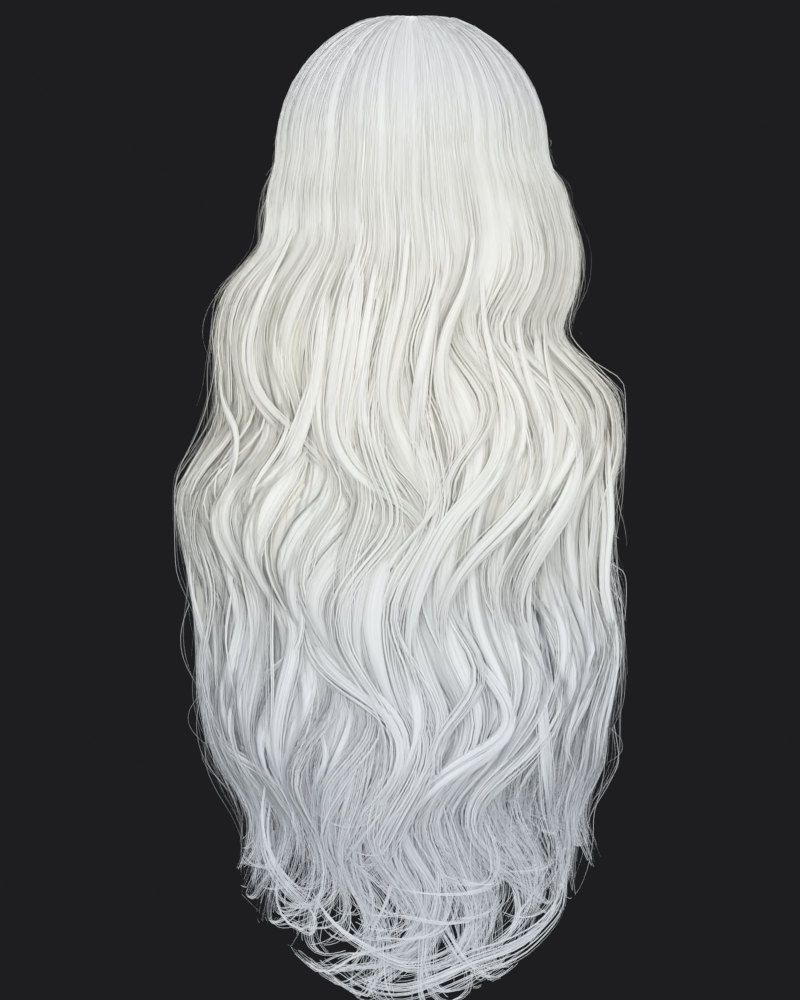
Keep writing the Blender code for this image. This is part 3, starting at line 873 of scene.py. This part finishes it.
def tressBodies(name, guides, sheet, finishes, random):
    # the second finish, for the hair behind the outer tresses, is a warmer cream: painted shade for the gaps
    # between them
    verts, faces, maps, slots = [], [], [], []
    base = 0
    for guide in guides:
        if not guide["body"]:
            continue
        sides = tressBody["sides"] if guide["outer"] else tressBody["innerSides"]
        rings, poles = bodyRings(guide, sides, random)
        rows = len(rings)
        verts += [rings.reshape(-1, 3), poles]
        variant = random.randint(tressBody["variants"])
        up = upAt(guide["down"])

        def spot(around, row):
            return ((variant + 0.02 + 0.96 * around / sides) / tressBody["variants"], up[row])

        for row in range(rows - 1):
            a, b = base + row * sides, base + (row + 1) * sides
            for i in range(sides):
                j = (i + 1) % sides
                faces.append((a + i, b + i, b + j, a + j))
                maps += [spot(i, row), spot(i, row + 1), spot(i + 1, row + 1), spot(i + 1, row)]
        pole, end = base + rows * sides, base + (rows - 1) * sides
        for i in range(sides):
            j = (i + 1) % sides
            faces += [(pole, base + i, base + j), (pole + 1, end + j, end + i)]
            maps += [spot(i + 0.5, 0), spot(i, 0), spot(i + 1, 0)]
            maps += [spot(i + 0.5, rows - 1), spot(i + 1, rows - 1), spot(i, rows - 1)]
        base = pole + 2
        slots += [0 if guide["outer"] else 1] * (len(faces) - len(slots))
    grid, down = sheet
    columns, rows = grid.shape[:2]
    verts.append(grid.reshape(-1, 3))
    up = upAt(down)
    for i in range(columns - 1):
        left, right = i / (columns - 1), (i + 1) / (columns - 1)
        for row in range(rows - 1):
            a, b = base + i * rows + row, base + (i + 1) * rows + row
            faces.append((a, a + 1, b + 1, b))
            maps += [(left, up[row]), (left, up[row + 1]), (right, up[row + 1]), (right, up[row])]
            # below shownTo the sheet lies behind the tresses and takes the warmer cream, painted shade
            slots.append(0 if down[row] < sheetLook["shownTo"] else 1)
    mesh = bpy.data.meshes.new(name)
    mesh.from_pydata(np.concatenate(verts).tolist(), [], faces)
    layer = mesh.uv_layers.new(name="OFBake")
    layer.data.foreach_set("uv", np.array(maps, np.float32).ravel())
    mesh.shade_smooth()
    for finish in finishes:
        mesh.materials.append(finish)
    mesh.polygons.foreach_set("material_index", slots)
    return shownPiece(name, mesh)


def shownPiece(name, data):
    piece = bpy.data.objects.new(name, data)
    bpy.context.scene.collection.objects.link(piece)
    return piece


guideFields = (
    ("outward", "FLOAT_VECTOR"), ("across", "FLOAT_VECTOR"), ("thick", "FLOAT"), ("down", "FLOAT"),
    ("strands", "INT"), ("tone", "FLOAT"), ("fine", "FLOAT"),
)


def guideMesh(name, guides):
    points, edges, base = [], [], 0
    for guide in guides:
        count = len(guide["points"])
        points.append(guide["points"])
        edges += [(base + i, base + i + 1) for i in range(count - 1)]
        base += count
    mesh = bpy.data.meshes.new(name)
    mesh.from_pydata(np.concatenate(points).tolist(), edges, [])
    for key, kind in guideFields:
        # a value that is one number for the whole guide is given to each of its points
        values = [guide[key] if np.ndim(guide[key]) else [guide[key]] * len(guide["points"]) for guide in guides]
        values = np.concatenate(values).astype(np.int32 if kind == "INT" else np.float32)
        made = mesh.attributes.new(key, kind, "POINT")
        made.data.foreach_set("vector" if kind == "FLOAT_VECTOR" else "value", values.ravel())
    return mesh


# Trees of nodes, for the strands and for the finishes

class TreeMaker:
    # short words for adding nodes and joining them

    def __init__(self, tree):
        self.tree = tree

    def node(self, kind, settings=None, **links):
        made = self.tree.nodes.new(kind)
        for key, value in (settings or {}).items():
            setattr(made, key, value)
        for key, value in links.items():
            self.feed(made, key, value)
        return made

    def feed(self, node, name, value):
        # a socket goes by its name without spaces, or by its number after a low line
        found = [s for s in node.inputs if s.enabled and s.name.replace(" ", "") == name]
        target = found[0] if found else node.inputs[int(name[1:])]
        if isinstance(value, bpy.types.NodeSocket):
            self.tree.links.new(value, target)
        else:
            target.default_value = value

    def out(self, node, name=None):
        shown = [s for s in node.outputs if s.enabled]
        return shown[0] if name is None else next(s for s in shown if s.name == name)

    def math(self, operation, *values):
        made = self.node("ShaderNodeMath", {"operation": operation})
        for i, value in enumerate(values):
            self.feed(made, "_%d" % i, value)
        return made.outputs[0]

    def vector(self, operation, first, second=None):
        made = self.node("ShaderNodeVectorMath", {"operation": operation}, _0=first)
        if second is not None:
            self.feed(made, "Scale" if operation == "SCALE" else "_1", second)
        return made.outputs[0]

    def mixed(self, first, second, share):
        return self.node("ShaderNodeMix", {"data_type": "RGBA"}, _0=share, _6=first, _7=second).outputs[2]

    def eased(self, value, fromMin, fromMax, toMin=0.0, toMax=1.0):
        return self.node(
            "ShaderNodeMapRange", {"interpolation_type": "SMOOTHSTEP"},
            Value=value, FromMin=fromMin, FromMax=fromMax, ToMin=toMin, ToMax=toMax,
        ).outputs[0]


def newGroup(name, kind, inputs, outputs):
    # a new node group with its sockets: what is given to it and what it results in
    maker = TreeMaker(bpy.data.node_groups.new(name, kind))
    for sockets, way in ((inputs, "INPUT"), (outputs, "OUTPUT")):
        for socketType, names in sockets:
            for socket in names:
                maker.tree.interface.new_socket(socket, in_out=way, socket_type="NodeSocket" + socketType)
    return maker, maker.node("NodeGroupInput").outputs, maker.node("NodeGroupOutput").inputs


def newMaterial(name):
    made = bpy.data.materials.new(name)
    made.use_nodes = True
    return made, TreeMaker(made.node_tree), made.node_tree.nodes["Principled BSDF"]


strandSettings = {
    "Strand Width": 0.00088,
    "Tip Width": 0.35,
    "Frizz": 0.0008,
    "Roundness": 0.4,
    "Shortest": 0.84,
    "Latest Start": 0.14,
    "Loose Strands": 0.9,
}
strandTurns = (-0.25 * math.pi, 1.25 * math.pi)
toneColumns = 24


def strandTree():
    # turns each guide into the strands of its tress
    maker, given, result = newGroup("strands", "GeometryNodeTree", (
        ("Geometry", ("Geometry",)), ("Float", strandSettings), ("Int", ("Seed",)), ("Material", ("Finish",)),
    ), (("Geometry", ("Geometry",)),))
    node, math, vector, out = maker.node, maker.math, maker.vector, maker.out

    def named(name, kind="FLOAT"):
        return out(node("GeometryNodeInputNamedAttribute", {"data_type": kind}, Name=name), "Attribute")

    def perStrand(seed, low=0.0, high=1.0):
        # one random number for each strand, the same all along it
        made = node(
            "FunctionNodeRandomValue", {"data_type": "FLOAT"}, Min=low, Max=high,
            ID=node("GeometryNodeInputIndex").outputs[0], Seed=math("ADD", given["Seed"], float(seed)),
        )
        return out(node("GeometryNodeFieldOnDomain", {"domain": "CURVE", "data_type": "FLOAT"}, Value=out(made)))

    def store(geometry, name, value, kind="FLOAT", domain="POINT"):
        settings = {"data_type": kind, "domain": domain}
        return out(node("GeometryNodeStoreNamedAttribute", settings, Geometry=geometry, Name=name, Value=value))

    curves = out(node("GeometryNodeMeshToCurve", Mesh=given["Geometry"]))
    strands = node(
        "GeometryNodeDuplicateElements", {"domain": "SPLINE"}, Geometry=curves, Amount=named("strands", "INT"),
    ).outputs["Geometry"]
    down = named("down")
    across = named("across", "FLOAT_VECTOR")
    outward = named("outward", "FLOAT_VECTOR")
    # a strand's place in the round section of its tress
    loose = math("POWER", perStrand(12), 6.0)
    loose = math("MULTIPLY_ADD", loose, given["Loose Strands"], 1.0)
    radius = math("MULTIPLY", perStrand(11, 0.92, 1.02), loose)
    angle = perStrand(13, *strandTurns)
    u = math("MULTIPLY", radius, math("COSINE", angle))
    w = math("MULTIPLY", radius, math("SINE", angle))
    lift = vector("SCALE", outward, math("MULTIPLY", w, named("thick")))
    offset = vector("ADD", vector("SCALE", across, u), lift)
    # slow bends of its own, which grow towards the tip
    number = perStrand(14, 0.0, 400.0)
    place = node("ShaderNodeCombineXYZ", X=math("MULTIPLY", down, 5.0), Y=number).outputs[0]
    noise = node("ShaderNodeTexNoise", Vector=place, Scale=1.0, Detail=1.0)
    bend = vector("SUBTRACT", noise.outputs["Color"], (0.5, 0.5, 0.5))
    frizz = math("MULTIPLY", given["Frizz"], maker.eased(down, -0.6, 1.0, 0.25, 3.6))
    bend = vector("SCALE", bend, frizz)
    offset = vector("ADD", offset, vector("SCALE", bend, 2.0))
    strands = out(node("GeometryNodeSetPosition", Geometry=strands, Offset=offset))
    # what the finish needs, kept before the ends are cut
    column = math("MULTIPLY_ADD", named("tone"), 0.4, math("MULTIPLY", perStrand(15), 0.6))
    column = math("FLOOR", math("MULTIPLY", column, toneColumns - 0.01))
    for name, value in (("toneColumn", column), ("bow", u), ("face", w), ("thin", perStrand(16, 0.7, 1.3))):
        strands = store(strands, name, value)
    strands = out(node(
        "GeometryNodeTrimCurve", {"mode": "FACTOR"}, Curve=strands,
        Start=perStrand(17, 0.0, given["Latest Start"]), End=perStrand(18, given["Shortest"], 1.0),
    ))
    # flat ribbons that face outwards, turned round the tress towards its sides
    facing = math("ADD", math("MULTIPLY", math("ABSOLUTE", named("face")), 0.6), 0.4)
    leaning = math("MULTIPLY", named("bow"), given["Roundness"])
    leaning = vector("SCALE", vector("NORMALIZE", across), leaning)
    normal = vector("NORMALIZE", vector("ADD", leaning, vector("SCALE", outward, facing)))
    strands = out(node("GeometryNodeSetCurveNormal", {"mode": "FREE"}, Curve=strands, Normal=normal))
    factor = out(node("GeometryNodeSplineParameter"), "Factor")
    width = math("MULTIPLY", given["Strand Width"], named("thin"))
    width = math("MULTIPLY", width, named("fine"))
    width = math("MULTIPLY", width, maker.eased(factor, 0.55, 1.0, 1.0, given["Tip Width"]))
    profile = node("GeometryNodeCurvePrimitiveLine", {"mode": "POINTS"}, Start=(0, -0.5, 0), End=(0, 0.5, 0))
    profile = store(out(profile), "side", out(node("GeometryNodeSplineParameter"), "Factor"))
    ribbons = out(node(
        "GeometryNodeCurveToMesh", Curve=strands, ProfileCurve=profile, Scale=width, FillCaps=False,
    ))
    # the map has one column for each tone, with the way down the strand along it
    inColumn = math("MULTIPLY_ADD", named("side"), 0.7, 0.15)
    mapX = math("DIVIDE", math("ADD", named("toneColumn"), inColumn), float(toneColumns))
    mapY = math("MULTIPLY_ADD", down, mapUp["perDown"], mapUp["middle"])
    spot = node("ShaderNodeCombineXYZ", X=mapX, Y=mapY).outputs[0]
    ribbons = store(ribbons, "OFBake", spot, "FLOAT2", "CORNER")
    ribbons = out(node("GeometryNodeRealizeInstances", Geometry=ribbons))
    ribbons = out(node("GeometryNodeSetMaterial", Geometry=ribbons, Material=given["Finish"]))
    maker.tree.links.new(ribbons, result["Geometry"])
    return maker.tree


def makeStrands(name, guides, tree, settings):
    holder = shownPiece(name + "_guides", guideMesh(name + "_guides", guides))
    modifier = holder.modifiers.new("strands", "NODES")
    modifier.node_group = tree
    for item in tree.interface.items_tree:
        if item.in_out == "INPUT" and item.name in settings:
            modifier[item.identifier] = settings[item.name]
    graph = bpy.context.evaluated_depsgraph_get()
    mesh = bpy.data.meshes.new_from_object(holder.evaluated_get(graph))
    holder.modifiers.clear()
    bpy.data.objects.remove(holder)
    mesh.name = name
    for unused in [key for key, kind in guideFields] + ["bow", "face", "thin", "toneColumn", "side"]:
        if unused in mesh.attributes:
            mesh.attributes.remove(mesh.attributes[unused])
    return shownPiece(name, mesh)


# Finishes

hairFinish = {
    "root": (0.89, 0.89, 0.88, 1.0),
    "middle": (0.96, 0.945, 0.875, 1.0),
    # under: a warmer cream for the hair behind the outer tresses, painted shade that shows in the gaps between
    # them
    "under": (0.97, 0.925, 0.76, 1.0),
    # tip: cooler and darker, partly the thinner ends' own tone, partly painted shade of the lower hair
    "tip": (0.82, 0.845, 0.875, 1.0),
    "rootToMiddle": (0.30, 0.62),
    "middleToTip": (0.60, 0.88),
    "darkest": 0.955,
    "roughness": 0.34,
    "unevenGloss": 0.16,
    "scatterRadius": (1.0, 0.92, 0.7),
    "scatterDepth": 0.003,
    "reliefDepth": 0.0004,
    "bodyLines": (120.0, 4.0, 1.0),
}


def fibreGroup():
    # colour, roughness and relief of a fine fibre, from its tone and the way down it
    maker, given, result = newGroup("fibre", "ShaderNodeTree", (
        ("Vector", ("Spot", "Lines")), ("Color", ("Root", "Middle", "Tip")),
        ("Float", ("Darkest", "Gloss", "Columns", "Streak")),
    ), (("Color", ("Color",)), ("Float", ("Roughness", "Height"))))
    math = maker.math
    spot = maker.node("ShaderNodeSeparateXYZ", _0=given["Spot"]).outputs
    colour = maker.mixed(given["Root"], given["Middle"], maker.eased(spot["Y"], *hairFinish["rootToMiddle"]))
    # towards the tips the colour turns cooler and darker: partly the ends' own tone, partly painted shade
    colour = maker.mixed(colour, given["Tip"], maker.eased(spot["Y"], *hairFinish["middleToTip"]))
    # columns of tone: a number that jumps from one column of the map to the next
    column = math("FLOOR", math("MULTIPLY", spot["X"], given["Columns"]))
    jumbled = maker.node("ShaderNodeTexWhiteNoise", {"noise_dimensions": "1D"}, W=column).outputs["Value"]
    level = maker.node("ShaderNodeMapRange", Value=jumbled, ToMin=given["Darkest"]).outputs[0]
    # fine lines along the fibre, for the colour, the relief and the gloss
    grain = maker.node(
        "ShaderNodeTexNoise", Vector=maker.vector("MULTIPLY", given["Spot"], given["Lines"]),
        Scale=1.0, Detail=4.0, Roughness=0.65,
    ).outputs["Fac"]
    level = math("MULTIPLY_ADD", math("SUBTRACT", grain, 0.5), given["Streak"], level)
    gloss = math("MULTIPLY_ADD", grain, hairFinish["unevenGloss"], given["Gloss"])
    made = {"Color": maker.vector("SCALE", colour, level), "Roughness": gloss, "Height": grain}
    for name, socket in made.items():
        maker.tree.links.new(socket, result[name])
    return maker.tree


def addRelief(maker, shader, height, strength, distance):
    relief = maker.node("ShaderNodeBump", Strength=strength, Distance=distance, Height=height)
    maker.feed(shader, "Normal", relief.outputs[0])


def hairMaterial(name, group, columns, lines, streak, relief, scatter, middle="middle"):
    made, maker, shader = newMaterial(name)
    maker.feed(shader, "SubsurfaceWeight", scatter)
    maker.feed(shader, "SubsurfaceRadius", hairFinish["scatterRadius"])
    maker.feed(shader, "SubsurfaceScale", hairFinish["scatterDepth"])
    fibre = maker.node(
        "ShaderNodeGroup", {"node_tree": group},
        Spot=maker.node("ShaderNodeUVMap", {"uv_map": "OFBake"}).outputs[0],
        Root=hairFinish["root"], Middle=hairFinish[middle], Tip=hairFinish["tip"],
        Darkest=hairFinish["darkest"], Gloss=hairFinish["roughness"],
        Columns=columns, Lines=lines, Streak=streak,
    ).outputs
    maker.feed(shader, "BaseColor", fibre["Color"])
    maker.feed(shader, "Roughness", fibre["Roughness"])
    addRelief(maker, shader, fibre["Height"], relief, hairFinish["reliefDepth"])
    return made


fibre = fibreGroup()
bodyColumns, bodyLines = tressBody["variants"], hairFinish["bodyLines"]
hair = hairMaterial("hair_fibre", fibre, toneColumns, (toneColumns * 5.0, 40.0, 1.0), 0.05, 0.2, 0.0)
hairBody = hairMaterial("hair_tress", fibre, bodyColumns, bodyLines, 0.12, 0.30, 0.2)
# the hair behind the outer tresses gets the warmer cream colour, painted shade for the gaps between tresses
hairUnderPaintedShade = hairMaterial("hair_under_painted_shade", fibre, bodyColumns, bodyLines, 0.12, 0.30, 0.2, "under")
tree = strandTree()
total = 0
lockRandom = np.random.RandomState(77)
shownLocks = []
for width, places in surfaceLocks:
    shownLocks += lockGuides(lockRandom, width, places)
print("locks on top:", len(shownLocks), "tresses")
for number, panel in enumerate(panels):
    guides = panelGuides(panel, 100 + number)
    guides += [g for g in shownLocks if panel[1] <= g["azimuth"] < panel[2]]
    guides += flyaways(panel, np.random.RandomState(900 + number))
    settings = dict(strandSettings, Seed=1000 * (number + 1), Finish=hair)
    strands = makeStrands(panel[0] + "_strands", guides, tree, settings)
    bodyRandom = np.random.RandomState(500 + number)
    sheet = sheetGrid(panel, bodyRandom)
    bodies = tressBodies(panel[0] + "_tresses", guides, sheet, (hairBody, hairUnderPaintedShade), bodyRandom)
    for piece in (strands, bodies):
        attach(piece, "root")
        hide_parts(panel[0])
        piece.data.calc_loop_triangles()
        total += len(piece.data.loop_triangles)
        print(piece.name, len(guides), "tresses,", len(piece.data.loop_triangles), "triangles")
print("hair:", total, "triangles")


# The cap: rows of weft on a fine net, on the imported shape

capFinish = {
    "thread": (0.80, 0.76, 0.66, 1.0),
    # hole: painted shade in the net's holes
    "hole": (0.50, 0.46, 0.38, 1.0),
    "weft": (0.88, 0.86, 0.79),
    "rowDegrees": 5.5,
    "rowWidth": 0.35,
    "netAround": 150.0,
    "netUp": 150.0,
    "threadEdge": 3.0,
    "stitches": 420.0,
    "stitchDepth": 0.06,
    "roughness": 0.85,
    "smootherWeft": -0.2,
    "reliefDepth": 0.0006,
}


def capMaterial():
    made, maker, shader = newMaterial("cap_net")
    math = maker.math
    place = maker.node("ShaderNodeTexCoord").outputs["Object"]
    x, y, z = maker.node("ShaderNodeSeparateXYZ", _0=place).outputs
    around = math("ARCTAN2", x, y)
    outwards = math("SQRT", math("ADD", math("MULTIPLY", x, x), math("MULTIPLY", y, y)))
    up = math("ARCTAN2", math("ADD", z, head["crownHeight"]), outwards)
    # two sets of slanting threads make the net, and the holes between them are painted shade, darker where the
    # cap's inside would show through
    turned = math("MULTIPLY", around, capFinish["netAround"])
    risen = math("MULTIPLY", up, capFinish["netUp"])
    slants = [math("ABSOLUTE", math("SINE", math(way, turned, risen))) for way in ("ADD", "SUBTRACT")]
    net = math("SMOOTH_MIN", math("POWER", math("MAXIMUM", *slants), capFinish["threadEdge"]), 1.0, 0.1)
    # and the wefts run round the head, with stitches along them
    row = math("SINE", math("MULTIPLY", up, 360 / capFinish["rowDegrees"]))
    weft = math("GREATER_THAN", row, 1 - 2 * capFinish["rowWidth"])
    stitch = math("SINE", math("MULTIPLY", around, capFinish["stitches"]))
    stitch = math("MULTIPLY_ADD", stitch, capFinish["stitchDepth"], 1 - capFinish["stitchDepth"])
    # the net's holes take the darker hole colour, painted shade
    netAndHoleShade = maker.mixed(capFinish["hole"], capFinish["thread"], net)
    colour = maker.mixed(netAndHoleShade, maker.vector("SCALE", capFinish["weft"], stitch), weft)
    maker.feed(shader, "BaseColor", colour)
    maker.feed(shader, "Roughness", math("MULTIPLY_ADD", weft, capFinish["smootherWeft"], capFinish["roughness"]))
    height = math("MAXIMUM", math("MULTIPLY", net, 0.4), math("MULTIPLY", weft, stitch))
    addRelief(maker, shader, height, 0.6, capFinish["reliefDepth"])
    return made


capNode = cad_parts["cap"]
capNet = capMaterial()
for holder in capNode.material_slots:
    holder.material = capNet
print("cap:", len(capNode.material_slots), "slot")


# The stage

stage = {
    "distance": 3.0,
    "metresPerPixel": 0.00078,
    "aimX": 0.00936,
    "aimZ": -0.364,
    "floorLevel": -0.86,
    "floorRadius": 0.45,
    "floorColour": (0.72, 0.72, 0.70, 1.0),
    "floorRoughness": 0.8,
    "fill": (0.93, 0.96, 1.0, 1.0),
    "fillStrength": 0.78,
    "background": (0.013, 0.013, 0.0145, 1.0),
    # name, place, aim, size, power and colour
    "lights": (
        ("key", (0.8, 2.4, 0.45), (0, 0, -0.30), 1.6, 8.8, (1.0, 0.975, 0.94)),
        ("second", (-0.9, 2.3, 0.25), (0, 0, -0.35), 1.6, 8.8, (1.0, 0.98, 0.95)),
        ("top", (0.0, 0.6, 1.5), (0, 0, -0.1), 1.2, 1.2, (1.0, 1.0, 1.0)),
        ("face", (0.4, -1.9, 0.5), (0, 0, -0.3), 1.2, 9, (1.0, 1.0, 1.0)),
    ),
}


def addLight(name, place, aim, size, power, colour):
    data = bpy.data.lights.new(name, "AREA")
    data.shape = "SQUARE"
    data.size = size
    data.energy = power
    data.color = colour
    light = shownPiece(name, data)
    light.location = place
    light.rotation_euler = (Vector(aim) - Vector(place)).to_track_quat("-Z", "Y").to_euler()


def buildStage():
    scene = bpy.context.scene
    scene.view_settings.view_transform = "Standard"
    bpy.ops.mesh.primitive_circle_add(
        vertices=96, radius=stage["floorRadius"], fill_type="NGON", location=(0, 0, stage["floorLevel"])
    )
    floor = bpy.context.object
    floor.name = "floor"
    paint, maker, shader = newMaterial("floor_paint")
    maker.feed(shader, "BaseColor", stage["floorColour"])
    maker.feed(shader, "Roughness", stage["floorRoughness"])
    floor.data.materials.append(paint)
    # the world is dark where the camera sees it and a soft fill everywhere else
    scene.world = bpy.data.worlds.new("studio")
    scene.world.use_nodes = True
    maker = TreeMaker(scene.world.node_tree)
    nodes = maker.tree.nodes
    maker.feed(nodes["Background"], "Color", stage["fill"])
    maker.feed(nodes["Background"], "Strength", stage["fillStrength"])
    dark = maker.node("ShaderNodeBackground", Color=stage["background"]).outputs[0]
    seen = maker.node("ShaderNodeLightPath").outputs["Is Camera Ray"]
    mix = maker.node("ShaderNodeMixShader", _0=seen, _1=nodes["Background"].outputs[0], _2=dark)
    maker.feed(nodes["World Output"], "Surface", mix.outputs[0])
    for light in stage["lights"]:
        addLight(*light)
    data = bpy.data.cameras.new("camera")
    data.lens = stage["distance"] / stage["metresPerPixel"] / 1000 * data.sensor_width
    camera = shownPiece("camera", data)
    camera.location = (stage["aimX"], stage["distance"], stage["aimZ"])
    camera.rotation_euler = (math.pi / 2, 0, math.pi)
    scene.camera = camera


buildStage()
print("stage ready")
